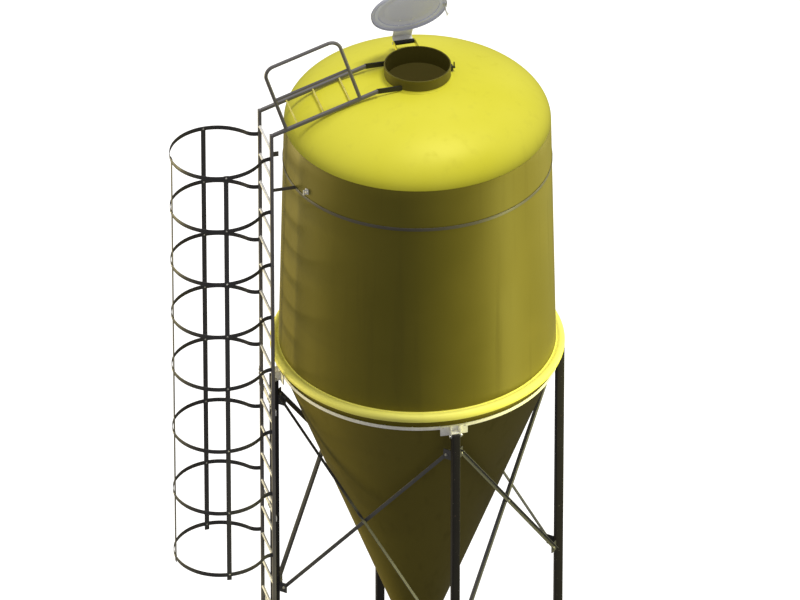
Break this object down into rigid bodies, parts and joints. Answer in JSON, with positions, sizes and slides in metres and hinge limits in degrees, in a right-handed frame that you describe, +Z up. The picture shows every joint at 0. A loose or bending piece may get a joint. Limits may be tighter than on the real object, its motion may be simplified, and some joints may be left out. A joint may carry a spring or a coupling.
{
  "type": "hopper-bottom dust silo",
  "caption": "Free-standing moulded dust silo: domed barrel with an open manhole lid, conical hopper with slide gate, braced legs and a caged ladder.",
  "frame": {"origin": "on the silo's axis at ground level, the middle of the four base plates' undersides", "axes": "+Z up along the silo's axis; the ladder is on -X, the legs are on +X, -X, +Y and -Y, the lid's hinge is on the +Y side"},
  "size_m": [3.5455, 2.752, 7.6105],
  "materials": {
    "barrel_shell": "moulded yellow gel coat, satin",
    "roof_shell": "moulded yellow gel coat, glossy",
    "hopper_shell": "olive-yellow laminate, satin",
    "neck_shell": "moulded yellow gel coat",
    "galvanised_ring": "hot-dip galvanised",
    "band_steel": "dark painted steel",
    "leg_paint": "dark grey paint",
    "brace_paint": "grey paint",
    "fasteners": "zinc plated",
    "ladder_steel": "grey painted steel",
    "rung_zinc": "galvanised",
    "cage_steel": "grey painted steel",
    "lid_shell": "grey laminate",
    "gasket_rubber": "matt black rubber",
    "lid_zinc": "galvanised",
    "dark_fitting": "black painted steel",
    "gate_zinc": "galvanised",
    "blade_steel": "plain steel plate"
  },
  "bodies": {
    "root": {"barrel": "barrel_shell", "roof_dome": "roof_shell", "hopper_cone": "hopper_shell", "manhole_neck": "neck_shell", "rolled_bead": "roof_shell", "support_ring": "galvanised_ring", "flange_bolts": "fasteners", "band_strap": "band_steel", "lifting_lugs": "galvanised_ring", "leg_left": "leg_paint", "leg_front": "leg_paint", "leg_right": "leg_paint", "leg_back": "leg_paint", "base_plates": "brace_paint", "leg_head_brackets": "galvanised_ring", "head_bolts": "fasteners", "brace_gussets": "brace_paint", "brace_bolts": "fasteners", "brace_front_left_outer": "brace_paint", "brace_front_left_inner": "brace_paint", "brace_front_right_outer": "brace_paint", "brace_front_right_inner": "brace_paint", "brace_back_right_outer": "brace_paint", "brace_back_right_inner": "brace_paint", "brace_back_left_outer": "brace_paint", "brace_back_left_inner": "brace_paint", "ladder_rails_lower": "ladder_steel", "ladder_rails_upper": "ladder_steel", "ladder_rungs": "rung_zinc", "ladder_ties": "rung_zinc", "ladder_standoffs": "band_steel", "roof_rails": "ladder_steel", "roof_rungs": "rung_zinc", "roof_end_bars": "band_steel", "handrail": "ladder_steel", "cage_hoop_1": "cage_steel", "cage_hoop_2": "cage_steel", "cage_hoop_3": "cage_steel", "cage_hoop_4": "cage_steel", "cage_hoop_5": "cage_steel", "cage_hoop_6": "cage_steel", "cage_hoop_7": "cage_steel", "cage_hoop_8": "cage_steel", "cage_strap_front": "cage_steel", "cage_strap_outer": "cage_steel", "cage_strap_back": "cage_steel", "hinge_arms": "neck_shell", "hinge_pin": "fasteners", "lid_catch": "dark_fitting", "outlet_flange": "gate_zinc", "gate_body": "gate_zinc", "gate_bolts": "fasteners"},
    "lid": {"lid_cover": "lid_shell", "lid_gasket": "gasket_rubber", "lid_hinge_strap": "lid_zinc", "lid_knuckle": "dark_fitting", "lid_hasp": "lid_zinc"},
    "catch": {"catch_lever": "dark_fitting"},
    "gate": {"gate_blade": "blade_steel", "gate_handle": "dark_fitting"}
  },
  "joints": [
    {"name": "lid_hinge", "type": "hinge", "parent": "root", "child": "lid", "pos_m": [0, 0.448, 6.889], "axis": [-1, 0, 0], "range_deg": [-62, 48]},
    {"name": "catch_pivot", "type": "hinge", "parent": "root", "child": "catch", "pos_m": [0.32, 0, 6.858], "axis": [1, 0, 0], "range_deg": [0, 90]},
    {"name": "gate_slide", "type": "slide", "parent": "root", "child": "gate", "axis": [0, -1, 0], "range_m": [0, 0.32]}
  ]
}
